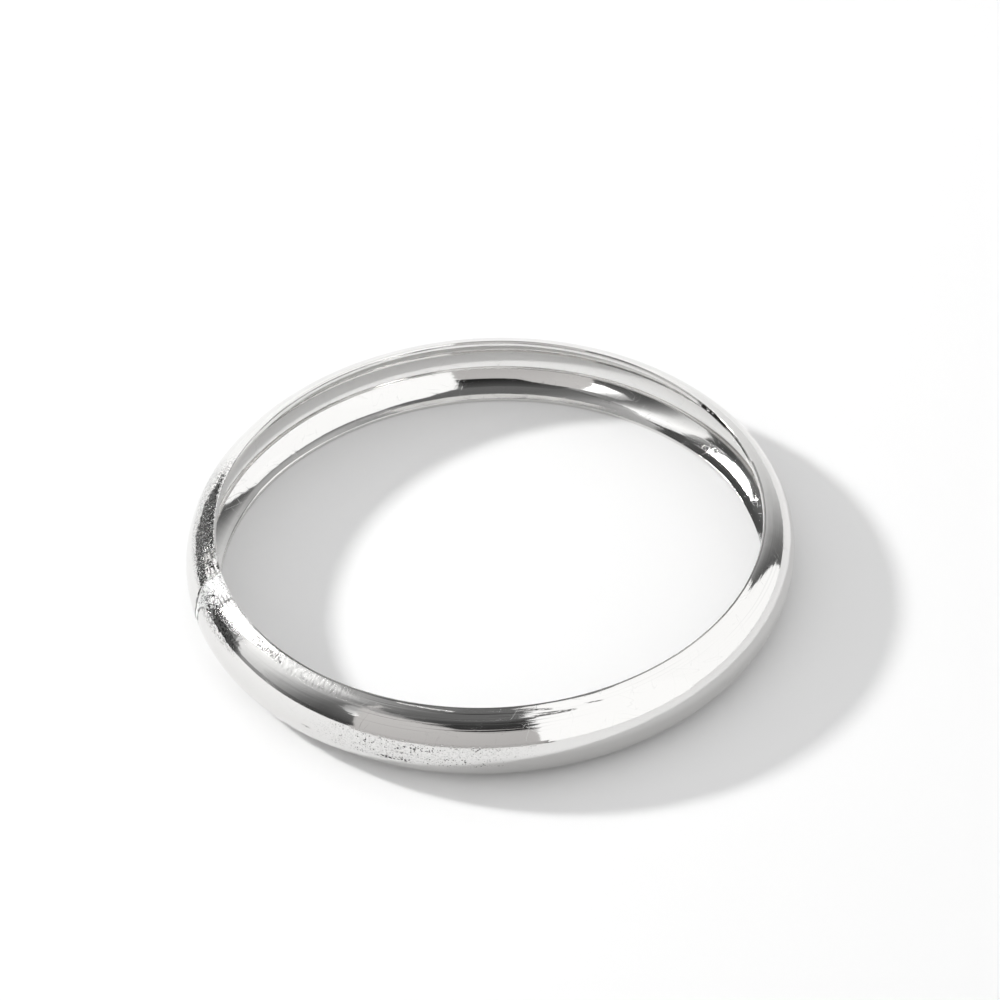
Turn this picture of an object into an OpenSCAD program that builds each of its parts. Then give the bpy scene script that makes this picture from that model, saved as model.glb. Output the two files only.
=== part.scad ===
// Plain domed bangle: one strip of thin silver sheet, pressed to a hollow half-round
// section, bent to a ring and closed with a solder seam. It lies flat on its lower rim.

/* [Band] */
// Inside diameter across the lips, the size that passes over the hand
inner_d = 63.5; // [56:0.5:72]
// Height of the band from rim to rim
band_h = 9.8; // [9:0.1:11]
// How far the crest of the dome stands out past its own rims
dome_rise = 3.5; // [3.2:0.05:3.9]
// Thickness of the sheet
sheet_t = 0.65; // [0.5:0.05:0.8]

/* [Worn edges] */
// Width of the flat that wear has left on each rim
rim_land = 0.2; // [0.1:0.05:0.3]
// Height of the band of wear inside each lip
lip_land = 0.25; // [0.15:0.05:0.35]

/* [Solder seam] */
// Length of the solder along the band at the rims
seam_w = 4.2; // [3:0.1:6]
// Length of the solder along the band at the crest
seam_waist = 1.8; // [1:0.1:2.5]
// How far the solder stands off the outside at the rims
seam_proud = 0.2; // [0.1:0.05:0.35]
// Thickness of the solder that ran through to the hollow side
seam_inside = 0.2; // [0.1:0.05:0.4]

/* [Hidden] */
$fn = 180;

// The outside of the section is one arc, through the crest and both rims.
half_h = band_h / 2;
arc_r = (half_h * half_h + dome_rise * dome_rise) / (2 * dome_rise);
edge_angle = asin(half_h / arc_r);

// The cut edge of the sheet lies on a ray from the arc's centre. Wear takes its outer
// corner down to a flat rim and its inner corner back to a short cylinder.
wear_spread = tan(edge_angle) + 1 / tan(edge_angle);
rim_wear = rim_land / wear_spread;
lip_wear = lip_land / wear_spread;
worn_angle = asin((half_h + rim_wear) / arc_r);
inner_arc_r = arc_r - sheet_t;
inner_r = inner_d / 2;
arc_x = inner_r - lip_wear - inner_arc_r * cos(worn_angle);
crest_r = arc_x + arc_r;

// The solder is level with the crest and stands proud towards the rims, so its own arc
// is a little larger, with its centre set back by the same amount.
seam_skin = 0.03;
seam_setback = seam_proud / (1 - cos(edge_angle));
seam_arc_r = arc_r + seam_setback;
seam_arc_x = arc_x - seam_setback - seam_skin;

reach = 3 * arc_r;

// Area between the two rays that end the sheet
module sheet_wedge() {
    polygon([
        [0, 0],
        [reach * cos(worn_angle), -reach * sin(worn_angle)],
        [reach, 0],
        [reach * cos(worn_angle), reach * sin(worn_angle)]
    ]);
}

// Section of the band in the plane of radius and height
module band_section() {
    intersection() {
        translate([arc_x, half_h])
            intersection() {
                difference() {
                    circle(r = arc_r);
                    circle(r = inner_arc_r);
                }
                sheet_wedge();
            }
        translate([inner_r, 0])
            square([crest_r, band_h]);
    }
}

// Section through the solder, which fills both corners of the lips
module seam_section() {
    intersection() {
        difference() {
            translate([seam_arc_x, half_h])
                circle(r = seam_arc_r);
            translate([arc_x, half_h])
                circle(r = inner_arc_r - seam_inside);
        }
        translate([inner_r + seam_skin, seam_skin])
            square([crest_r, band_h - 2 * seam_skin]);
    }
}

// Outline of the solder seen from outside: wide at both rims, narrow at the crest
module seam_outline() {
    polygon([
        [-seam_w / 2, 0],
        [seam_w / 2, 0],
        [seam_waist / 2, half_h],
        [seam_w / 2, band_h],
        [-seam_w / 2, band_h],
        [-seam_waist / 2, half_h]
    ]);
}

// Solder where the two ends of the strip meet, on the -X side
module solder_seam() {
    sweep = 2 * asin(seam_w / inner_r);
    intersection() {
        rotate([0, 0, 180 - sweep / 2])
            rotate_extrude(angle = sweep)
                seam_section();
        rotate([90, 0, -90])
            linear_extrude(height = 2 * crest_r)
                seam_outline();
    }
}

module bangle() {
    color([0.80, 0.79, 0.77])
        union() {
            rotate_extrude()
                band_section();
            solder_seam();
        }
}

bangle();
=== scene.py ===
# Plain domed silver bangle lying flat on its lower rim on a pale table.
import math

import bmesh
import bpy
from mathutils import Matrix, Vector


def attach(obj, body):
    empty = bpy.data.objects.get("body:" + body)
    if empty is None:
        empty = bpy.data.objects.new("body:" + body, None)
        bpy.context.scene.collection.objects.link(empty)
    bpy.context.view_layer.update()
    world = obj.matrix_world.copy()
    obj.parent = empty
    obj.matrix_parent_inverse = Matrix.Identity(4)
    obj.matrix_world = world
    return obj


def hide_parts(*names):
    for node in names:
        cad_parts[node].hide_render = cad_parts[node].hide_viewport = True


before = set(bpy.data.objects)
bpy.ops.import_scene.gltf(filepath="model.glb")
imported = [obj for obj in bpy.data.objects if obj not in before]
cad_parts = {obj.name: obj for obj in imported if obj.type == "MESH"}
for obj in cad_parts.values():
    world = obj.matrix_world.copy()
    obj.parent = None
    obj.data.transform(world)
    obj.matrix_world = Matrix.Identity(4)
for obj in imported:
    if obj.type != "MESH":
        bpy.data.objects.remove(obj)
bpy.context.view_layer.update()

MM = 0.001

# The camera stands at this azimuth in the part's frame, where the seam is on -X.
VIEW_AZIMUTH = math.radians(-104.4)


class Field:
    """A number or vector that a node puts out. Sums of fields become Math nodes."""

    def __init__(self, wiring, socket):
        self.wiring = wiring
        self.socket = socket

    def __add__(self, other):
        return self.wiring.math("ADD", self, other)

    def __sub__(self, other):
        return self.wiring.math("SUBTRACT", self, other)

    def __rsub__(self, other):
        return self.wiring.math("SUBTRACT", other, self)

    def __mul__(self, other):
        return self.wiring.math("MULTIPLY", self, other)

    def __truediv__(self, other):
        return self.wiring.math("DIVIDE", self, other)


class Wiring:
    """Short calls that add nodes to one tree and join them."""

    def __init__(self, tree):
        self.tree = tree

    def feed(self, socket, value):
        if isinstance(value, Field):
            value = value.socket
        if isinstance(value, bpy.types.NodeSocket):
            self.tree.links.new(value, socket)
        else:
            socket.default_value = value

    def node(self, kind, inputs=None, **settings):
        made = self.tree.nodes.new(kind)
        for name, value in settings.items():
            setattr(made, name, value)
        for name, value in (inputs or {}).items():
            self.feed(made.inputs[name], value)
        return made

    def out(self, made, name=0):
        return Field(self, made.outputs[name])

    def math(self, operation, *values, clamp=False):
        made = self.node("ShaderNodeMath", operation=operation, use_clamp=clamp)
        for socket, value in zip(made.inputs, values):
            self.feed(socket, value)
        return self.out(made)

    def share(self, value, start, length):
        """How far value has come from start over length, held between 0 and 1."""
        return self.math("DIVIDE", value - start, length, clamp=True)

    def ramp(self, value, low, high, to_low=0.0, to_high=1.0, soft=True):
        style = "SMOOTHSTEP" if soft else "LINEAR"
        sockets = {"Value": value, "From Min": low, "From Max": high}
        sockets.update({"To Min": to_low, "To Max": to_high})
        return self.out(self.node("ShaderNodeMapRange", sockets, interpolation_type=style))

    def split(self, vector):
        made = self.node("ShaderNodeSeparateXYZ", {"Vector": vector})
        return [self.out(made, axis) for axis in "XYZ"]

    def vector(self, x, y, z):
        made = self.node("ShaderNodeCombineXYZ", {"X": x, "Y": y, "Z": z})
        return self.out(made)

    def noise(self, vector, scale, detail=2.0, roughness=0.5):
        """Noise with its middle near 0.5."""
        sockets = {"Vector": vector, "Scale": scale, "Detail": detail, "Roughness": roughness}
        return self.out(self.node("ShaderNodeTexNoise", sockets))


def put(name, data):
    """A new object in the scene with this mesh, lamp or camera."""
    made = bpy.data.objects.new(name, data)
    bpy.context.scene.collection.objects.link(made)
    return made


# The band

BAND_SIZES = {
    "Rim radius": 31.955 * MM,
    "Band height": 9.62 * MM,
    "Height change": 0.0185,
    "Widest at": math.radians(-173.2),
    "Dome rise": 3.51 * MM,
    "Sheet thickness": 0.66 * MM,
    "Edge rounding": 0.06 * MM,
    "Edge wear": 0.05 * MM,
    "Foot rounding": 0.26 * MM,
    "Foot lift": 0.34 * MM,
    "Waviness": 0.02 * MM,
    "Hammering": 0.03 * MM,
    "Solder half width": 2.5 * MM,
    "Solder waist": 0.45 * MM,
    "Solder shift": 1.2 * MM,
    "Solder lumps": 0.22 * MM,
    "Top limit": 9.79 * MM,
    "Crest limit": 35.54 * MM,
}
# Columns of the mesh round the ring
COLUMNS = 1000
# Rows of the mesh in each stretch of the section, up the outside and down the inside
SECTION_ROWS = {
    "bottom": 2, "corner_a": 3, "outside": 56, "corner_b": 3,
    "top": 2, "corner_c": 3, "inside": 22, "corner_d": 6,
}
# Share by which the columns crowd together towards the seam
CROWDING = 0.36
# Radius at which lengths along the strip are measured
MIDDLE_R = 33.5 * MM
# Azimuths between which the foot's inner corner turns quite round, and then sharp again
ROUND_FROM = (1.9, 2.25)
ROUND_TO = (2.75, 2.95)
# Where the foot stands off the table, how far to each side, and how deep its nicks are
LIFT_AT = math.radians(15)
LIFT_SPREAD = math.radians(19)
NICK_DEPTH = 0.14 * MM
# Distances from the middle of the band over which the solder widens
SOLDER_FLARE = (1.0 * MM, 4.6 * MM)
# How far the solder's outline wanders, and the distances from it over which the solder ends
# and the groove beside it fades
SOLDER_WANDER = 1.1 * MM
SOLDER_EDGE = (-0.3 * MM, 0.12 * MM)
GROOVE_EDGE = (0.05 * MM, 0.3 * MM)
GROOVE_DEPTH = 0.08 * MM
# Distances from the seam over which the solder ends that ran through to the inside
RUN_THROUGH_EDGE = (1.0 * MM, 2.2 * MM)
# How far from the seam the sheet still shows hammer blows
BLOWS_FADE = (1.0 * MM, 17.0 * MM)
# Points closer than this become one, where the grid's edges meet
MERGE_DISTANCE = 0.002 * MM


def fade(w, value, start, end):
    """1 where value is small, falling to 0 from start to end."""
    return w.ramp(value, start, end, 1.0, 0.0)


def section_shares(w, row):
    """How far each stretch of the section has come at a row, from 0 to 1."""
    part = {}
    start = 0
    for name, count in SECTION_ROWS.items():
        part[name] = w.share(row, start, count)
        start += count
    return part


def corner_radii(w, size, azimuth, ring, up, through):
    """The plain rounding of the edges, worn more in some places than in others, and the radius
    of a corner, which is larger at the foot's inner corner for a stretch beside the seam."""
    worn = w.ramp(w.noise(ring, 120.0, 3.0, 0.6), 0.42, 0.66)
    rounding = size["Edge rounding"] + size["Edge wear"] * worn
    at_foot = fade(w, up, -1.0, -0.8) * fade(w, through, -1.0, 1.0)
    in_stretch = w.ramp(azimuth, *ROUND_FROM) * fade(w, azimuth, *ROUND_TO)
    return rounding, rounding + size["Foot rounding"] * at_foot * in_stretch


def sheet_bend(w, size, spot, from_seam):
    """The whole sheet is a little wavy, and hammered close to the seam."""
    sway = (w.noise(spot, 85.0, 1.0) - 0.5) * size["Waviness"] * 2.0
    blows = w.noise(spot, 620.0, 2.0, 0.55) - 0.5
    return sway + blows * size["Hammering"] * 2.0 * fade(w, from_seam, *BLOWS_FADE)


def solder_relief(w, size, azimuth, from_seam, spot, arc_along, outer):
    """Solder fills the joint in an hourglass, with a groove down each of its edges. At the top it
    has run further on the side of negative azimuths. Gives the masks of the solder and of the
    groove, and how far both stand off the sheet."""
    ragged = (w.noise(spot, 900.0, 3.0, 0.6) - 0.5) * SOLDER_WANDER
    to_near = from_seam * (w.math("LESS_THAN", azimuth, 0.0) * 2.0 - 1.0)
    flare = w.ramp(w.math("ABSOLUTE", arc_along), *SOLDER_FLARE)
    waist = size["Solder waist"]
    half_width = waist + (size["Solder half width"] - waist) * flare
    middle = size["Solder shift"] * w.ramp(arc_along, *SOLDER_FLARE)
    edge = w.math("ABSOLUTE", to_near - middle) - half_width + ragged
    solder = fade(w, edge, *SOLDER_EDGE)
    groove = fade(w, w.math("ABSOLUTE", edge), *GROOVE_EDGE)
    lumps = size["Solder lumps"]
    bead = w.noise(spot, 1500.0, 2.0, 0.6) - 0.5
    lump = w.noise(spot, 640.0, 2.0, 0.5) - 0.5 + flare * 0.2
    piled = solder * (lump * lumps * 1.5 + bead * lumps * 1.6) - groove * GROOVE_DEPTH
    run_through = w.noise(spot, 520.0, 2.0, 0.5) - 0.3
    behind = fade(w, from_seam + ragged, *RUN_THROUGH_EDGE) * run_through * lumps * 1.8
    return solder * outer, groove * outer, piled * outer - behind * (1.0 - outer)


def foot_raised(w, size, azimuth, ring, up):
    """The foot stands a little off the table at the far right, and its edge is nicked there."""
    off = w.math("ABSOLUTE", azimuth - LIFT_AT) / LIFT_SPREAD
    low_share = 0.5 - up * 0.5
    nicks = w.ramp(w.noise(ring, 900.0, 2.0, 0.6), 0.55, 0.75) * w.ramp(low_share, 0.93, 1.0)
    return fade(w, off, 0.0, 1.0) * (size["Foot lift"] * low_share + nicks * NICK_DEPTH)


def strip_place(w, part, azimuth, rim_angle, arc_r, sheet):
    """Millimetres along the strip and round its section, as a map for the metal."""
    outside_length = rim_angle * arc_r * 2.0
    inside_length = rim_angle * (arc_r - sheet) * 2.0
    run = part["outside"] * outside_length + part["inside"] * inside_length
    run = run + (part["bottom"] + part["top"]) * sheet - sheet - outside_length * 0.5
    return w.vector(azimuth * MIDDLE_R / MM, run / MM, 0.0)


def keep(w, geometry, name, value, kind="FLOAT", domain="POINT"):
    """Stores a value on the mesh under a name that the metal reads."""
    inputs = {"Geometry": geometry, "Name": name, "Value": value}
    return w.out(w.node("GeometryNodeStoreNamedAttribute", inputs, data_type=kind, domain=domain))


def band_tree():
    tree = bpy.data.node_groups.new("domed_band", "GeometryNodeTree")
    tree.interface.new_socket("Geometry", in_out="OUTPUT", socket_type="NodeSocketGeometry")
    for name in BAND_SIZES:
        tree.interface.new_socket(name, in_out="INPUT", socket_type="NodeSocketFloat")
    tree.interface.new_socket("Metal", in_out="INPUT", socket_type="NodeSocketMaterial")
    w = Wiring(tree)
    given = w.node("NodeGroupInput")
    size = {name: w.out(given, name) for name in BAND_SIZES}
    rim_r = size["Rim radius"]
    rise = size["Dome rise"]
    sheet = size["Sheet thickness"]

    # A flat grid is wrapped round the ring by its length and round the section by its rows.
    rows = sum(SECTION_ROWS.values())
    grid = w.node(
        "GeometryNodeMeshGrid",
        {"Size X": 2.0, "Size Y": rows, "Vertices X": COLUMNS + 1, "Vertices Y": rows + 1},
    )
    along, across, _ = w.split(w.out(w.node("GeometryNodeInputPosition")))
    part = section_shares(w, across + rows / 2)

    # Columns crowd together towards the seam, where the solder needs a finer mesh.
    cube = along * along * along
    azimuth = (along * (1.0 + CROWDING) - cube * CROWDING) * math.pi
    around_x = w.math("COSINE", azimuth)
    around_y = w.math("SINE", azimuth)
    ring = w.vector(around_x * MIDDLE_R, around_y * MIDDLE_R, 0.0)

    # The section is one arc, through the crest and both rims, as thick as the sheet.
    half = size["Band height"] * 0.5
    arc_r = (half * half + rise * rise) / (rise * 2.0)
    rim_angle = w.math("ARCSINE", half / arc_r)
    mid_r = arc_r - sheet * 0.5
    up = (part["outside"] - part["inside"]) * 2.0 - 1.0
    through = (part["bottom"] - part["top"]) * 2.0 - 1.0
    rounding, corner_r = corner_radii(w, size, azimuth, ring, up, through)
    corners = part["corner_a"] + part["corner_b"] + part["corner_c"] + part["corner_d"]
    turn = corners * (math.pi / 2)
    arc_along = up * (rim_angle * mid_r - corner_r) - corner_r * w.math("COSINE", turn)
    arc_out = through * (sheet * 0.5 - corner_r) + corner_r * w.math("SINE", turn)
    angle = arc_along / mid_r
    angle_cos = w.math("COSINE", angle)
    angle_sin = w.math("SINE", angle)

    # Rounding the edges takes a little off the height, which the stretch gives back.
    lost = rounding * (w.math("SINE", rim_angle) + w.math("COSINE", rim_angle) - 1.0)
    stretch = half / (half - lost)

    from_seam = (w.math("ABSOLUTE", azimuth) * -1.0 + math.pi) * MIDDLE_R
    spot = w.vector(around_x * MIDDLE_R, around_y * MIDDLE_R, arc_along)
    outer = w.math("MINIMUM", w.ramp(part["bottom"], 0.0, 1.0), fade(w, part["top"], 0.0, 1.0))
    solder, groove, relief = solder_relief(w, size, azimuth, from_seam, spot, arc_along, outer)
    bend = sheet_bend(w, size, spot, from_seam) + relief

    # The band is a little taller on the seam side, and stays inside the plain part's box.
    radius = rim_r + rise - arc_r + (mid_r + arc_out + bend) * angle_cos
    level = half + (mid_r + arc_out) * angle_sin * stretch + bend * angle_sin
    scale = w.math("COSINE", azimuth - size["Widest at"]) * size["Height change"] + 1.0
    radius = rim_r + (radius - rim_r) * scale
    level = level * scale + foot_raised(w, size, azimuth, ring, up)
    level = w.math("MINIMUM", w.math("MAXIMUM", level, 0.0), size["Top limit"])
    radius = w.math("MINIMUM", radius, size["Crest limit"])

    strip = strip_place(w, part, azimuth, rim_angle, arc_r, sheet)
    marked = keep(w, w.out(grid, "Mesh"), "strip", strip, "FLOAT2", "CORNER")
    marked = keep(w, marked, "solder", solder)
    marked = keep(w, marked, "groove", groove)
    where = w.vector(radius * around_x, radius * around_y, level)
    placed = w.node("GeometryNodeSetPosition", {"Geometry": marked, "Position": where})
    closing = {"Geometry": w.out(placed), "Distance": MERGE_DISTANCE}
    closed = w.node("GeometryNodeMergeByDistance", closing)
    smooth = w.node("GeometryNodeSetShadeSmooth", {"Geometry": w.out(closed)})
    real = w.node("GeometryNodeRealizeInstances", {"Geometry": w.out(smooth)})
    metal = w.node(
        "GeometryNodeSetMaterial", {"Geometry": w.out(real), "Material": w.out(given, "Metal")}
    )
    w.node("NodeGroupOutput", {"Geometry": w.out(metal)})
    return tree


def socket_id(tree, name):
    for item in tree.interface.items_tree:
        if item.name == name and item.in_out == "INPUT":
            return item.identifier
    raise KeyError(name)


def make_band(metal):
    tree = band_tree()
    shell = put("band_source", bpy.data.meshes.new("band_source"))
    maker = shell.modifiers.new("domed_band", "NODES")
    maker.node_group = tree
    for name, value in BAND_SIZES.items():
        maker[socket_id(tree, name)] = value
    maker[socket_id(tree, "Metal")] = metal
    graph = bpy.context.evaluated_depsgraph_get()
    mesh = bpy.data.meshes.new_from_object(shell.evaluated_get(graph))
    shell.modifiers.remove(maker)
    bpy.data.objects.remove(shell)
    mesh.name = "silver_band"
    return put("silver_band", mesh)


# The silver

def shader_group(name, inputs, outputs):
    """A new shader group with float and vector inputs and float outputs."""
    tree = bpy.data.node_groups.new(name, "ShaderNodeTree")
    for label, value in inputs.items():
        kind = "NodeSocketVector" if value is None else "NodeSocketFloat"
        socket = tree.interface.new_socket(label, in_out="INPUT", socket_type=kind)
        if value is not None:
            socket.default_value = value
    for label in outputs:
        tree.interface.new_socket(label, in_out="OUTPUT", socket_type="NodeSocketFloat")
    w = Wiring(tree)
    given = w.node("NodeGroupInput")
    return tree, w, [w.out(given, label) for label in inputs]


def draw_lines_group():
    """Ridges and streaks that run with the strip, left when it was drawn. Lengths are
    millimetres. Lean tips the normal along the strip, so that edges mirrored in it are ragged."""
    inputs = {"Strip": None, "Normal": None, "Tangent": None, "Pitch": 0.4, "Run": 30.0, "Lean": 0.05}
    outputs = ["Height", "Groove", "Scratch"]
    tree, w, given = shader_group("draw_lines", inputs, outputs)
    strip, normal, tangent, pitch, run, lean = given
    tree.interface.new_socket("Normal", in_out="OUTPUT", socket_type="NodeSocketVector")
    u, v, _ = w.split(strip)
    ridges = w.noise(w.vector(u / run, v / pitch, 0.0), 1.0, 3.0, 0.6)
    streaks = w.noise(w.vector(u / run * 2.0, v / pitch * 0.8, 5.0), 1.0, 2.0, 0.6)
    sway = w.noise(w.vector(u / run * 4.0, v / pitch, 9.0), 1.0, 2.0, 0.6)
    scaled = w.node("ShaderNodeVectorMath", {0: tangent}, operation="SCALE")
    w.feed(scaled.inputs["Scale"], (sway - 0.5) * lean)
    leant = w.node("ShaderNodeVectorMath", {0: normal, 1: w.out(scaled)}, operation="ADD")
    unit = w.node("ShaderNodeVectorMath", {0: w.out(leant)}, operation="NORMALIZE")
    results = {
        "Height": ridges - 0.5, "Groove": fade(w, ridges, 0.3, 0.45),
        "Scratch": w.ramp(streaks, 0.58, 0.72), "Normal": w.out(unit),
    }
    w.node("NodeGroupOutput", results)
    return tree


def hairlines_group():
    """Thin broken scratches at one angle to the strip. Lengths are millimetres."""
    inputs = {"Strip": None, "Angle": 0.3, "Spacing": 1.0, "Length": 9.0, "Width": 0.02}
    tree, w, (strip, angle, spacing, length, width) = shader_group("hairlines", inputs, ["Mask"])
    turned = w.node("ShaderNodeVectorRotate", {"Vector": strip, "Angle": angle}, rotation_type="Z_AXIS")
    u, v, _ = w.split(w.out(turned))
    bands = w.noise(w.vector(u / length, v / spacing, angle * 7.0), 1.0, 1.0)
    line = fade(w, w.math("ABSOLUTE", bands - 0.5), 0.0, width)
    broken = w.ramp(w.noise(w.vector(u / length * 3.0, v / spacing, angle), 1.0, 1.0), 0.45, 0.6)
    w.node("NodeGroupOutput", {"Mask": line * broken})
    return tree


def pits_group():
    """Small pits, with only a share of the possible places filled. Lengths are millimetres."""
    inputs = {"Strip": None, "Spacing": 0.8, "Size": 0.12, "Share": 0.3}
    tree, w, (strip, spacing, size, share) = shader_group("pits", inputs, ["Mask"])
    u, v, _ = w.split(strip)
    wander = w.noise(w.vector(u, v, 3.0), 2.4, 2.0) - 0.5
    scaled = w.vector((u + wander * size * 2.0) / spacing, (v - wander * size) / spacing, 0.0)
    cells = w.node("ShaderNodeTexVoronoi", {"Vector": scaled, "Scale": 1.0})
    there = w.math("LESS_THAN", w.split(w.out(cells, "Color"))[0], share)
    reach = size / spacing
    hole = fade(w, w.out(cells, "Distance"), reach * 0.4, reach)
    w.node("NodeGroupOutput", {"Mask": hole * there})
    return tree


def curls_group():
    """Dark curling cracks in rough solder. Lengths are millimetres."""
    inputs = {"Strip": None, "Size": 0.5, "Width": 0.04}
    tree, w, (strip, size, width) = shader_group("curls", inputs, ["Mask"])
    u, v, _ = w.split(strip)
    folds = w.noise(w.vector(u / size, v / size, 2.0), 1.0, 1.0, 0.5)
    line = fade(w, w.math("ABSOLUTE", folds - 0.52), width * 0.4, width)
    broken = w.ramp(w.noise(w.vector(u / size, v / size, 8.0), 0.6, 1.0), 0.4, 0.48)
    w.node("NodeGroupOutput", {"Mask": line * broken})
    return tree


def use(w, group, inputs, output="Mask"):
    """Puts a shader group into a material, and gives one of its outputs, or the node for None."""
    made = w.node("ShaderNodeGroup", node_tree=group)
    for label, value in inputs.items():
        w.feed(made.inputs[label], value)
    return w.out(made, output) if output else made


def within(w, value, low, high, soft):
    """1 from low to high, falling to 0 over soft at each end."""
    return w.ramp(value, low - soft, low + soft) * fade(w, value, high - soft, high + soft)


def most(w, *masks):
    top = masks[0]
    for mask in masks[1:]:
        top = w.math("MAXIMUM", top, mask)
    return top


def dash(w, u, v, start, end, level, width, slope=0.0):
    """1 on a thin broken line along the strip, at level where it starts."""
    off = w.math("ABSOLUTE", v - level - (u - start) * slope)
    broken = w.ramp(w.noise(w.vector(u / 0.8, v / 0.12, 3.0), 1.0, 2.0, 0.6), 0.36, 0.5)
    return within(w, u, start, end, 0.5) * fade(w, off, width * 0.4, width) * broken


def dashes(w, u, v, marks):
    return most(w, *[dash(w, u, v, *mark) for mark in marks])


# Colours of the bare metal, of the solder, and of what is deep or tarnished, which also paints shade
SILVER = (0.765, 0.76, 0.75, 1.0)
SOLDER = (0.96, 0.96, 0.955, 1.0)
DIRT_AND_SHADE = (0.012, 0.01, 0.009, 1.0)
# Sockets of a Mix node that mixes colours
MIX_SHARE, MIX_UNDER, MIX_OVER, MIX_RESULT = 0, 6, 7, 2

# Single marks on the strip, each with its start and end along it, its level, half its width,
# and its slope where it has one
FRONT_MARKS = [
    (-58.2, -55.0, 5.85, 0.16, -0.11), (-57.2, -52.3, 4.92, 0.16), (-56.6, -53.6, 5.2, 0.1, -0.05),
    (-50.8, -49.0, 5.3, 0.09, -0.1), (-56.0, -55.2, 1.7, 0.1, -0.02),
]
SOLDER_MARKS = [
    (-103.2, -100.6, 5.0, 0.16), (-103.0, -100.3, 5.45, 0.14),
    (-102.6, -100.6, 5.9, 0.12), (-102.8, -101.5, 3.1, 0.22),
]
FAR_MARKS = [(99.0, 104.0, 5.8, 0.17), (101.5, 104.5, 5.27, 0.15)]
SMUDGE = (-83.9, -83.1, -0.44, 0.2)
BRIGHT_LINE = (-73.2, -66.4, 6.12, 0.09, -0.045)


def finish_zones(w, u, v, from_seam):
    """Masks, each 1 where the metal has one kind of finish, or where shade is painted, and 0 elsewhere.
    The near side is the one that goes from the seam towards the camera."""
    outside = fade(w, w.math("ABSOLUTE", v), 6.3, 6.5)
    near_side = w.math("LESS_THAN", u, 0.0)
    far_side = 1.0 - near_side
    zone = {}
    zone["upper"] = w.ramp(v, 3.1, 3.5) * outside
    zone["front"] = within(w, u, -76.0, -57.0, 3.0)
    zone["hatched"] = within(w, u, -89.0, -79.0, 3.0) * w.ramp(v, 4.5, 5.0) * outside
    zone["scuffed"] = within(w, u, -80.0, -60.0, 5.0) * within(w, v, -1.4, 1.7, 0.4)
    # Painted shade: the low face near the camera is darkened for the shadowed table that it mirrors
    zone["low face"] = fade(w, v, -0.6, 0.7) * outside * within(w, u, -64.0, -4.0, 6.0)
    zone["ledge"] = within(w, v, 4.5, 4.75, 0.12) * within(w, u, -88.0, -74.0, 3.0)

    # Hammered metal on both sides of the seam
    zone["granular"] = far_side * fade(w, from_seam, 19.0, 24.0) * w.ramp(v, 2.6, 3.4) * outside
    zone["ragged"] = near_side * fade(w, from_seam, 7.0, 11.5) * w.ramp(v, 1.6, 2.4) * outside
    zone["hammered"] = most(w, zone["granular"], zone["ragged"])

    # Places where filing has blurred the mirror
    zone["beside"] = near_side * fade(w, from_seam, 9.0, 15.0) * outside
    zone["filed near"] = near_side * fade(w, from_seam, 7.0, 13.0) * w.ramp(v, 3.4, 4.2) * outside
    zone["filed top"] = near_side * fade(w, from_seam, 11.0, 16.0) * w.ramp(v, 4.6, 5.4) * outside
    zone["filed rim"] = near_side * fade(w, from_seam, 13.0, 24.0) * within(w, v, 5.6, 6.4, 0.3)
    zone["filed far"] = far_side * fade(w, from_seam, 3.5, 9.0) * w.ramp(v, 4.2, 5.0) * outside

    # Darker lines along the upper rim. The far one is painted shade: a blotchy dark reflection painted
    # on the top cut edge
    zone["near rim"] = within(w, v, 6.24, 6.4, 0.03) * near_side * w.ramp(from_seam, 8.5, 10.0)
    thin_part = within(w, v, 6.5, 6.85, 0.08) * within(w, u, 0.5, 7.5, 1.2)
    thick_part = within(w, v, 6.42, 7.05, 0.08) * within(w, u, 7.0, 13.2, 0.7)
    zone["far rim"] = most(w, thin_part, thick_part)
    return zone


def drawn_lines(w, strip, zone):
    """Lines left by drawing, strongest between the upper rim and the middle of the dome. Gives
    their height, dark grooves, blurred streaks and leant normal."""
    group = draw_lines_group()
    upper, front = zone["upper"], zone["front"]
    tangent = w.out(w.node("ShaderNodeTangent", direction_type="UV_MAP", uv_map="strip"))
    plain_normal = w.out(w.node("ShaderNodeNewGeometry"), "Normal")
    surface = {"Strip": strip, "Normal": plain_normal, "Tangent": tangent}
    lean = upper * (front * 0.08 + 0.05) + zone["granular"] * 0.12 + 0.015
    fine = use(w, group, {**surface, "Pitch": 0.22, "Run": 30.0, "Lean": lean}, None)
    broad = use(w, group, {**surface, "Pitch": 0.9, "Run": 50.0}, "Height")
    height = w.out(fine, "Height") * (upper * (front * 0.008 + 0.002) + 0.0008)
    height = height + broad * (upper * (front * 0.012 + 0.0015) + 0.0005)
    grooves = w.out(fine, "Groove") * upper * most(w, front * 0.75, 0.05)
    streaks = w.out(fine, "Scratch") * upper * most(w, front * 0.8, 0.06)
    return height, grooves, streaks, w.out(fine, "Normal")


def worn_scratches(w, strip):
    group = hairlines_group()
    slanted = {"Strip": strip, "Angle": 0.35, "Spacing": 1.3, "Length": 8.0, "Width": 0.012}
    steep = {"Strip": strip, "Angle": -1.1, "Spacing": 1.6, "Length": 6.0, "Width": 0.01}
    return use(w, group, slanted) + use(w, group, steep)


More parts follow.
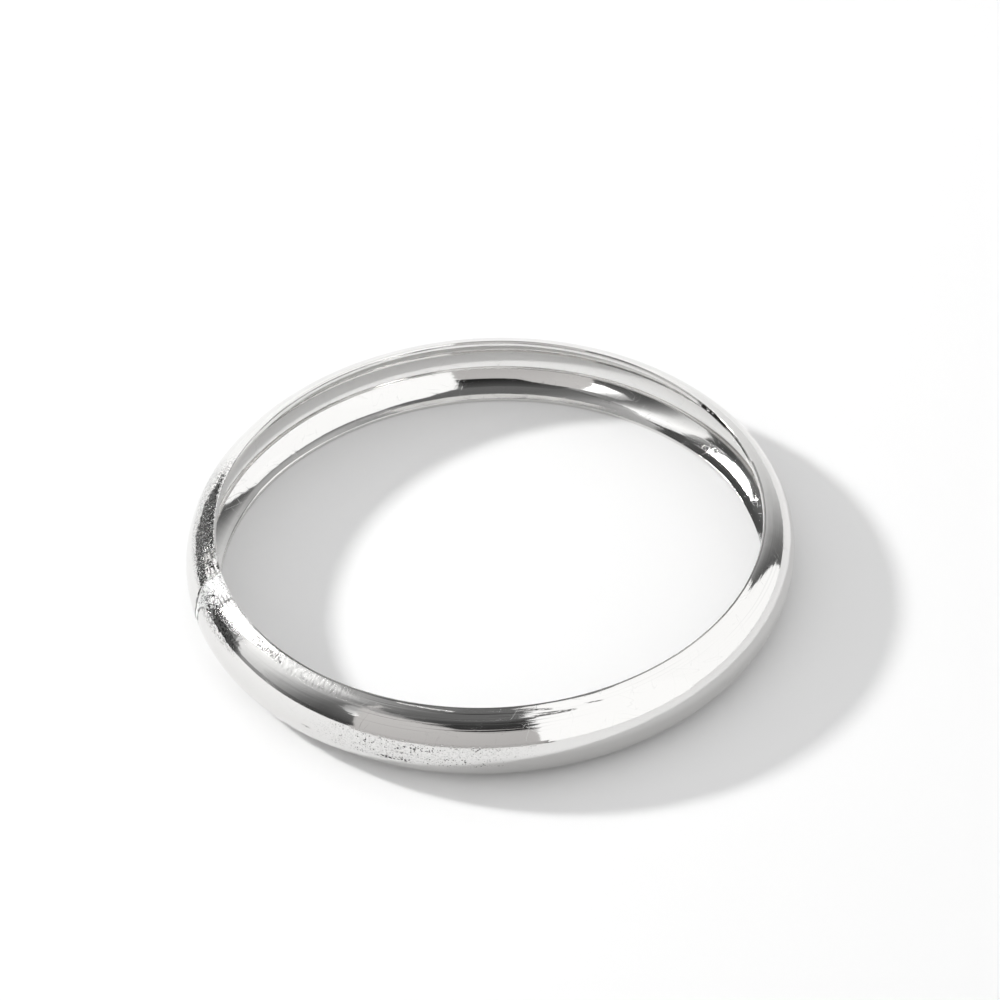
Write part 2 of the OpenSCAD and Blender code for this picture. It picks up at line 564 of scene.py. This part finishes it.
def pitted(w, strip, u, v, from_seam, zone):
    """Mask of all pits: a few everywhere, many in the scuffed patch and next to the seam."""
    group = pits_group()
    few = use(w, group, {"Strip": strip, "Spacing": 2.8, "Size": 0.09, "Share": 0.16})
    many = use(w, group, {"Strip": strip, "Spacing": 0.24, "Size": 0.11, "Share": 0.6})
    large = use(w, group, {"Strip": strip, "Spacing": 0.36, "Size": 0.22, "Share": 0.8})
    crowd = w.ramp(w.noise(strip, 0.7, 2.0, 0.6), 0.46, 0.6)
    upper_cluster = within(w, u, -72.6, -70.1, 0.7) * within(w, v, 0.1, 1.2, 0.3)
    lower_cluster = within(w, u, -74.8, -70.4, 0.8) * within(w, v, -1.3, -0.7, 0.2)
    in_scuffs = many * zone["scuffed"] * (crowd * 0.6 + 0.4)
    in_clusters = large * most(w, upper_cluster, lower_cluster)

    # Tracks of pits beside the seam, and short ticks along the near rim
    tracks = w.ramp(w.noise(w.vector(u / 1.8, v / 0.42, 1.0), 1.0, 1.0, 0.5), 0.45, 0.52)
    tracks = tracks * w.ramp(w.noise(w.vector(u / 0.3, v / 0.4, 2.0), 1.0, 1.0, 0.5), 0.4, 0.5)
    by_seam = zone["filed far"] * fade(w, from_seam, 7.0, 9.0) * w.ramp(from_seam, 1.0, 2.0)
    ticks = within(w, u, -94.4, -89.0, 0.2) * within(w, v, 5.0, 5.95, 0.1)
    ticks = ticks * w.ramp(w.noise(w.vector(u / 0.24, v / 0.3, 4.0), 1.0, 1.0), 0.5, 0.58) * 0.8
    return most(
        w, few * 0.8, in_scuffs, in_clusters, tracks * by_seam, ticks,
        dashes(w, u, v, SOLDER_MARKS) * 0.7, dashes(w, u, v, FAR_MARKS) * 0.8,
        dash(w, u, v, *SMUDGE) * 0.6
    )


def joint_cracks(w, strip, u, v):
    """Curling cracks where the solder meets the near side."""
    at_joint = within(w, u, -104.5, -101.4, 0.3) * within(w, v, 3.0, 4.9, 0.25)
    return use(w, curls_group(), {"Strip": strip, "Size": 0.42, "Width": 0.08}) * at_joint


def layered(w, *layers):
    """One colour over another, each layer after the first with its mask."""
    colour = layers[0]
    for mask, over in layers[1:]:
        mix = w.node("ShaderNodeMix", data_type="RGBA")
        w.feed(mix.inputs[MIX_SHARE], mask)
        w.feed(mix.inputs[MIX_UNDER], colour)
        w.feed(mix.inputs[MIX_OVER], over)
        colour = w.out(mix, MIX_RESULT)
    return colour


def silver():
    """Polished silver, worn and scuffed, with some shade painted in. All lengths are millimetres on the
    strip map, where u runs round the ring from the seam to the seam, and v goes up the outside, down the
    inside."""
    material = bpy.data.materials.new("polished_silver")
    material.use_nodes = True
    w = Wiring(material.node_tree)
    shader = material.node_tree.nodes["Principled BSDF"]
    strip = w.out(w.node("ShaderNodeUVMap", uv_map="strip"))
    solder = w.out(w.node("ShaderNodeAttribute", attribute_name="solder"), "Fac")
    groove = w.out(w.node("ShaderNodeAttribute", attribute_name="groove"), "Fac")
    u, v, _ = w.split(strip)
    from_seam = w.math("ABSOLUTE", u) * -1.0 + math.pi * MIDDLE_R / MM
    zone = finish_zones(w, u, v, from_seam)
    hatched, scuffed, hammered = zone["hatched"], zone["scuffed"], zone["hammered"]

    lines, grooves, streaks, normal = drawn_lines(w, strip, zone)
    scratches = worn_scratches(w, strip)
    holes = pitted(w, strip, u, v, from_seam, zone)
    cracks = joint_cracks(w, strip, u, v)
    bright_line = dash(w, u, v, *BRIGHT_LINE)

    # Short strokes across the upper edge, knocks from the hammer, and coarse and fine grain
    strokes = w.noise(w.vector(u / 0.3, v / 0.8, 0.0), 1.0, 2.0, 0.6)
    knocks = w.noise(w.vector(u, v * 0.8, 0.0), 1.5, 1.0, 0.5) - 0.5
    coarse = w.noise(w.vector(u * 0.8, v, 6.0), 2.6, 1.0, 0.6)
    fine = w.noise(w.vector(u, v, 2.0), 4.6, 1.0, 0.6)

    height = lines - scratches * 0.0014 + (strokes - 0.5) * hatched * 0.003
    knock_depth = zone["granular"] * 0.014 + zone["ragged"] * 0.02 + solder * 0.05 + 0.0012
    height = height + knocks * knock_depth
    height = height + (coarse - 0.5) * (hammered * 0.008 + solder * 0.012 + scuffed * 0.006)
    height = height + bright_line * 0.02 - holes * 0.02 - cracks * 0.05

    # The polish is hazier in some places, and worn or filed metal is rougher.
    haze = w.noise(w.vector(u, v, 0.0), 0.35, 3.0, 0.6)
    roughness = w.ramp(haze, 0.35, 0.7, 0.05, 0.08, soft=False)
    roughness = roughness + scratches * 0.1 + streaks * 0.2 + zone["ledge"] * 0.15
    roughness = roughness + hatched * 0.1 + bright_line * 0.5
    lit_grain = zone["granular"] * fade(w, from_seam, 10.0, 19.0) * 0.24 + scuffed * 0.12
    roughness = roughness + w.ramp(fine, 0.52, 0.62) * lit_grain
    roughness = most(
        w, roughness, zone["filed near"] * 0.27, zone["filed top"] * 0.42, zone["filed rim"] * 0.3,
        zone["filed far"] * 0.4, zone["beside"] * 0.08, solder * 0.52, holes * 0.4, cracks * 0.5
    )

    # Dirt stays in what is deep, and darker lines run along the rims. Painted shade also darkens the far
    # rim's cut edge and the low face.
    dull_and_shade = most(
        w, holes, cracks, grooves, groove * fade(w, v, 2.2, 3.2) * 0.9, scratches * 0.05,
        zone["near rim"] * 0.55, zone["far rim"] * w.ramp(coarse, 0.3, 0.42),
        hatched * w.ramp(strokes, 0.4, 0.64, 0.06, 0.3),
        fade(w, coarse, 0.38, 0.46) * hammered * 0.2,
        fade(w, fine, 0.4, 0.5) * most(w, hammered * 0.6, scuffed * 0.16),
        dashes(w, u, v, FRONT_MARKS) * 0.85, zone["low face"] * 0.17
    )
    bump = w.node("ShaderNodeBump", {"Height": height, "Strength": 1.0, "Distance": MM})
    w.feed(bump.inputs["Normal"], normal)
    colour = layered(w, SILVER, (solder * 0.9, SOLDER), (dull_and_shade, DIRT_AND_SHADE))
    w.feed(shader.inputs["Base Color"], colour)
    w.feed(shader.inputs["Roughness"], roughness)
    w.feed(shader.inputs["Normal"], w.out(bump))
    shader.inputs["Metallic"].default_value = 1.0
    return material


# The stage

def linear(grey):
    """Linear light for a grey of 0 to 255 as a screen shows it."""
    level = grey / 255.0
    if level <= 0.04045:
        return level / 12.92
    return ((level + 0.055) / 1.055) ** 2.4


# Share of the light that the silver sends back, which the cards' tones allow for
SILVER_SHARE = 0.76
# The soft light on the table: from all round, and more from above and from the front
FILL = 0.36
FILL_ABOVE = 0.56
FILL_FRONT = 0.1
# The key lamp: its power and size, its place in degrees to the right of the camera, and how
# far from the ring's axis and how high it stands
KEY_WATTS = 14.5
KEY_RADIUS = 25 * MM
KEY_PLACE = -112.5
KEY_REACH = 410 * MM
KEY_HEIGHT = 264 * MM
# The lamp's long shade, leaning over, as the metal mirrors it
SHADE_LIGHT = 25
SHADE_SIZES = (36 * MM, 20 * MM, 108 * MM)
SHADE_LEAN = math.radians(37)
SHADE_PLACE = -118
SHADE_HEIGHT = 290 * MM
# The opening in the cards that stand between the bangle and the lamp, in degrees
OPENING_PLACE = -119
OPENING_RISE = 36
OPENING_WIDE = 15.5
OPENING_HIGH = 13.5
# Rows of faces from the lower to the upper edge of a card
CARD_LEVELS = 16
# Grey that the metal mirrors where no card stands
CEILING_GREY = 98
WHITE = (1, 1, 1, 1)
# Half the table's width, in metres
TABLE_HALF = 3.0
TABLE_WHITE = (0.9, 0.9, 0.9, 1.0)


def key_spot(place, height):
    azimuth = VIEW_AZIMUTH + math.radians(place)
    return (KEY_REACH * math.cos(azimuth), KEY_REACH * math.sin(azimuth), height)


def between(stops, at):
    """Value at a place on a line of (place, value) stops."""
    if at <= stops[0][0]:
        return stops[0][1]
    for (a, low), (b, high) in zip(stops, stops[1:]):
        if at <= b:
            return low + (high - low) * (at - a) / (b - a)
    return stops[-1][1]


def empty_tree(owner):
    """Clears the nodes of a material or world, and gives the means to wire new ones."""
    owner.use_nodes = True
    owner.node_tree.nodes.clear()
    return Wiring(owner.node_tree)


def only_mirrored(made):
    """Stages an object that shows in the metal alone."""
    made.visible_camera = False
    made.visible_diffuse = False
    made.visible_shadow = False


def card_light():
    material = bpy.data.materials.new("card_light")
    w = empty_tree(material)
    tone = w.node("ShaderNodeAttribute", attribute_name="tone")
    glow = w.node("ShaderNodeEmission", {"Color": w.out(tone, "Color")})
    w.node("ShaderNodeOutputMaterial", {"Surface": w.out(glow)})
    return material


def shade_light():
    """Lights the metal alone: a ray that has met the table first finds it dark."""
    material = bpy.data.materials.new("shade_light")
    w = empty_tree(material)
    first = w.math("LESS_THAN", w.out(w.node("ShaderNodeLightPath"), "Diffuse Depth"), 0.5)
    glow = w.node("ShaderNodeEmission", {"Strength": first * SHADE_LIGHT})
    w.node("ShaderNodeOutputMaterial", {"Surface": w.out(glow)})
    return material


def in_opening(place, rise):
    """Whether a spot on a card lies in the opening that shows the lamp behind it."""
    across = (place - OPENING_PLACE) / OPENING_WIDE
    upward = (rise - OPENING_RISE) / OPENING_HIGH
    return across * across + upward * upward < 1.0


def card(
    name, light, reach, lows, tops, tones, top_tones=None, tint=(1, 1, 1), gain=1.0, opening=False
):
    """A card stood round the bangle, seen only in the metal. Places are degrees to the right of
    the camera, and reach is in millimetres. lows and tops are its lower and upper edge, and
    tones and top_tones its greys there. All are stops of (place, value)."""
    first, last = tones[0][0], tones[-1][0]
    count = max(4, int(round(last - first)) + 1)
    points, faces, colours, shown = [], [], [], []
    for i in range(count):
        place = first + (last - first) * i / (count - 1)
        azimuth = VIEW_AZIMUTH + math.radians(place)
        low, top = between(lows, place), between(tops, place)
        far = between(reach, place) * MM
        for k in range(CARD_LEVELS + 1):
            share = k / CARD_LEVELS
            rise = math.radians(low + (top - low) * share)
            flat = far * math.cos(rise)
            points.append((flat * math.cos(azimuth), flat * math.sin(azimuth), far * math.sin(rise)))
            grey = between(tones, place)
            if top_tones:
                grey += (between(top_tones, place) - grey) * share
            level = linear(grey) * gain / SILVER_SHARE
            colours.append([level * part for part in tint] + [1.0])
            shown.append(not (opening and in_opening(place, math.degrees(rise))))
    for i in range(count - 1):
        for k in range(CARD_LEVELS):
            a = i * (CARD_LEVELS + 1) + k
            if shown[a]:
                faces.append((a, a + 1, a + CARD_LEVELS + 2, a + CARD_LEVELS + 1))
    mesh = bpy.data.meshes.new(name)
    mesh.from_pydata(points, [], faces)
    tone = mesh.color_attributes.new("tone", "FLOAT_COLOR", "POINT")
    for item, colour in zip(tone.data, colours):
        item.color = colour
    mesh.materials.append(light)
    only_mirrored(put(name, mesh))


def make_cards():
    light = card_light()
    ground = [(0, -3)]
    warm = (1.0, 0.975, 0.965)

    # White on the right and behind, down to the line along the far foot
    card("white_near", light, [(0, 115)], ground,
         [(11.3, 40), (12.2, 50), (13.5, 62), (17, 72), (28, 78), (60, 80)],
         [(11.3, 251), (60, 251)])
    card("white_far", light, [(0, 230)], [(115.3, -3), (115.8, 33), (119, 40), (121, 44), (130, 52)],
         [(14, 60), (15, 68), (27, 73), (55, 78), (72, 76), (90, 74), (116, 70), (130, 60)],
         [(14, 251), (112, 248), (130, 240)])
    card("foot_line", light, [(0, 119)],
         [(122, 68), (125.5, 64.5), (129, 61), (131, 56.5), (132.5, 52), (133.5, 48.5), (146, 46)],
         [(0, 75)], [(122, 116), (130, 120), (138, 145), (146, 165)])
    card("white_patch", light, [(0, 120)], [(105, 37), (113, 38), (120, 41)], [(0, 48)],
         [(105, 251), (120, 250)])

    # Warm grey in front, and dark close round the foot
    card("grey_near", light, [(0, 130)], [(-51.5, 56), (-49, 48), (-46, 30), (-42.8, -3)],
         [(-51.5, 58), (-47, 52), (-44, 41), (-30, 41)],
         [(-51.5, 186), (-30, 182)], [(-51.5, 194), (-30, 190)], tint=warm)
    card("grey_front", light, [(0, 1500)], [(-43, 45), (-40, 38), (-37.2, 31), (-37, -3)],
         [(-43, 47), (-30, 48), (-22, 45), (-13, 37.5), (12, 35), (20, 34.5)],
         [(-43, 184), (-20, 178), (20, 173)], [(-43, 196), (-20, 188), (20, 176)], tint=warm)
    card("grey_skirt", light, [(0, 84)], ground, [(0, 5)], [(-42, 182), (-20, 174), (9, 170), (13, 150)],
         tint=warm)
    card("dark_skirt", light, [(-130, 105), (-104, 140), (-60, 160)], [(0, -3)], [(0, 7)],
         [(-131, 95), (-120, 105), (-108, 90), (-98.5, 76), (-91.5, 62), (-89.5, 105), (-87, 142),
          (-76, 140), (-66, 90), (-60, 66), (-42, 60)])

    # Bright and dark above the grey in front
    card("lamp_glow", light, [(0, 1450)],
         [(-68, 38), (-58, 33), (-54, 26), (-48.5, 23), (-45.7, 20), (-40, 18.5), (-37, 20)],
         [(-68, 46), (-58, 46), (-52, 46), (-44, 46.5), (-42.5, 45.5), (-40, 38), (-37, 31)],
         [(-68, 119), (-62, 122), (-56, 145), (-53, 190), (-51.5, 255), (-45, 255), (-37, 255)],
         [(-68, 116), (-62, 120), (-56, 140), (-52, 165), (-49, 215), (-45, 250), (-37, 250)], gain=1.5)
    card("dark_front", light, [(0, 1600)], [(0, 30)], [(-38, 60), (20, 64)],
         [(-38, 60), (-24, 16), (20, 12)], [(-38, 90), (-24, 82), (20, 78)])

    # The left, where the two nearest cards have an opening before the lamp
    card("left_side", light, [(-96.5, 235), (-80, 250), (-66, 600), (-58, 1700)], ground,
         [(-130, 63), (-96.5, 62), (-75, 60), (-36, 50)],
         [(-130, 246), (-96.5, 215), (-90, 200), (-83, 185), (-76, 140), (-68, 92), (-60, 62),
          (-50, 58), (-36, 58)],
         [(-130, 190), (-96.5, 270), (-84, 250), (-72, 178), (-62, 120), (-52, 140), (-36, 150)],
         opening=True)
    card("left_ceiling", light, [(0, 1700)], [(0, 58)], [(0, 84)],
         [(-135, 150), (-110, 190), (-80, 180), (-60, 120), (-44, 100)], [(-135, 110), (-44, 98)])
    card("far_left", light, [(0, 225)], [(-147.5, 12), (-145, 8), (-141, 1), (-138, -3)],
         [(-147.5, 52), (-135, 60), (-120, 64), (-117.5, 61), (-116.6, 50), (-110, 43), (-103.4, 35),
          (-100, 27), (-97.7, 19), (-94.5, 14), (-92, 8), (-91, 4)],
         [(-147.5, 80), (-142, 98), (-135, 120), (-125, 118), (-112, 100), (-104, 76), (-96, 58),
          (-91, 80)],
         [(-147.5, 60), (-135, 70), (-120, 66), (-105, 62), (-91, 130)], opening=True)
    card("behind_shade", light, [(0, 700)], [(0, 5)], [(0, 62)],
         [(-145, 66), (-107, 66), (-98, 90), (-90, 120)],
         [(-145, 66), (-118, 80), (-110, 120), (-103, 215), (-90, 230)])

    # The back of the room
    card("right_back", light, [(0, 236)], ground, [(112, 64), (130, 56), (165, 50)],
         [(112, 90), (118, 92), (123, 112), (130, 160), (136, 190), (142, 205), (150, 212), (158, 225),
          (165, 246)],
         [(112, 66), (118, 70), (123, 92), (130, 128), (136, 155), (142, 175), (150, 205), (165, 246)])
    card("back_wall", light, [(0, 1800)], ground, [(0, 52)], [(100, 246), (260, 246)])
    card("back_ceiling", light, [(0, 1800)], [(0, 52)], [(0, 80)],
         [(80, 150), (120, 246), (240, 246), (280, 150)], [(80, 110), (280, 110)])


def make_shade():
    """The key lamp's shade as the metal mirrors it. The lamp itself is hidden from mirrors."""
    mesh = bpy.data.meshes.new("key_shade")
    shape = bmesh.new()
    bmesh.ops.create_icosphere(shape, subdivisions=3, radius=1.0)
    bmesh.ops.scale(shape, vec=SHADE_SIZES, verts=shape.verts)
    shape.to_mesh(mesh)
    shape.free()
    mesh.materials.append(shade_light())
    made = put("key_shade", mesh)
    spot = Vector(key_spot(SHADE_PLACE, SHADE_HEIGHT))
    facing = spot.to_track_quat("Y", "Z").to_matrix().to_4x4()
    made.matrix_world = Matrix.Translation(spot) @ facing @ Matrix.Rotation(SHADE_LEAN, 4, "Y")
    only_mirrored(made)


def make_floor():
    half = TABLE_HALF
    mesh = bpy.data.meshes.new("floor")
    mesh.from_pydata(
        [(-half, -half, 0), (half, -half, 0), (half, half, 0), (-half, half, 0)], [], [(0, 1, 2, 3)]
    )
    material = bpy.data.materials.new("pale_table")
    material.use_nodes = True
    shader = material.node_tree.nodes["Principled BSDF"]
    shader.inputs["Base Color"].default_value = TABLE_WHITE
    shader.inputs["Roughness"].default_value = 1.0
    shader.inputs["Specular IOR Level"].default_value = 0.0
    mesh.materials.append(material)
    put("floor", mesh)


def make_world():
    """White for the camera, a soft fill for the table, and a grey ceiling for the metal."""
    world = bpy.data.worlds.new("studio")
    bpy.context.scene.world = world
    w = empty_tree(world)
    path = w.node("ShaderNodeLightPath")
    ray = w.split(w.out(w.node("ShaderNodeTexCoord"), "Generated"))
    towards = ray[0] * math.cos(VIEW_AZIMUTH) + ray[1] * math.sin(VIEW_AZIMUTH)
    soft = ray[2] * FILL_ABOVE + towards * FILL_FRONT + FILL
    ceiling_light = linear(CEILING_GREY) / SILVER_SHARE
    plain = w.node("ShaderNodeBackground", {"Color": WHITE, "Strength": 1.0})
    ceiling = w.node("ShaderNodeBackground", {"Color": WHITE, "Strength": ceiling_light})
    fill = w.node("ShaderNodeBackground", {"Color": WHITE, "Strength": soft})
    in_metal = w.node(
        "ShaderNodeMixShader", {0: w.out(path, "Is Glossy Ray"), 1: w.out(plain), 2: w.out(ceiling)}
    )
    from_table = w.math("GREATER_THAN", w.out(path, "Diffuse Depth"), 0.5)
    mixed = w.node("ShaderNodeMixShader", {0: from_table, 1: w.out(in_metal), 2: w.out(fill)})
    w.node("ShaderNodeOutputWorld", {"Surface": w.out(mixed)})


def make_key():
    """A small lamp behind the bangle to the left, so that shadows grow to the right. Its light
    fades slowly with distance, so the table stays evenly lit."""
    light = bpy.data.lights.new("key", "POINT")
    light.energy = KEY_WATTS
    light.shadow_soft_size = KEY_RADIUS
    light.specular_factor = 0.0
    light.use_nodes = True
    w = Wiring(light.node_tree)
    even = w.node("ShaderNodeLightFalloff", {"Strength": 1.0})
    glow = light.node_tree.nodes["Emission"]
    w.feed(glow.inputs["Strength"], w.out(even, "Linear"))
    made = put("key", light)
    made.location = key_spot(KEY_PLACE, KEY_HEIGHT)
    made.visible_glossy = False


def make_camera():
    """A long lens, at the photograph's angle above the table and turned a little round its axis."""
    distance = 935.012 * MM
    rise = math.radians(41.637)
    roll = math.radians(-3.046)
    slide = (-0.885 * MM, -9.45 * MM)
    away = Vector((0, -math.cos(rise), math.sin(rise)))
    right = Vector((1, 0, 0))
    up = right.cross(-away)
    tilted_right = math.cos(roll) * right + math.sin(roll) * up
    tilted_up = -math.sin(roll) * right + math.cos(roll) * up
    spot = away * distance - tilted_right * slide[0] - tilted_up * slide[1]
    axes = Matrix((tilted_right, tilted_up, away)).transposed().to_4x4()
    turn = Matrix.Rotation(VIEW_AZIMUTH + math.pi / 2, 4, "Z")
    data = bpy.data.cameras.new("camera")
    data.lens = 288
    data.sensor_width = 36
    data.clip_start = 0.01
    data.clip_end = 20
    made = put("camera", data)
    made.matrix_world = turn @ Matrix.Translation(spot) @ axes
    bpy.context.scene.camera = made


metal = silver()
band = make_band(metal)
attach(band, "root")
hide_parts("bangle")

make_cards()
make_shade()
make_floor()
make_world()
make_key()
make_camera()
bpy.context.scene.view_settings.view_transform = "Standard"
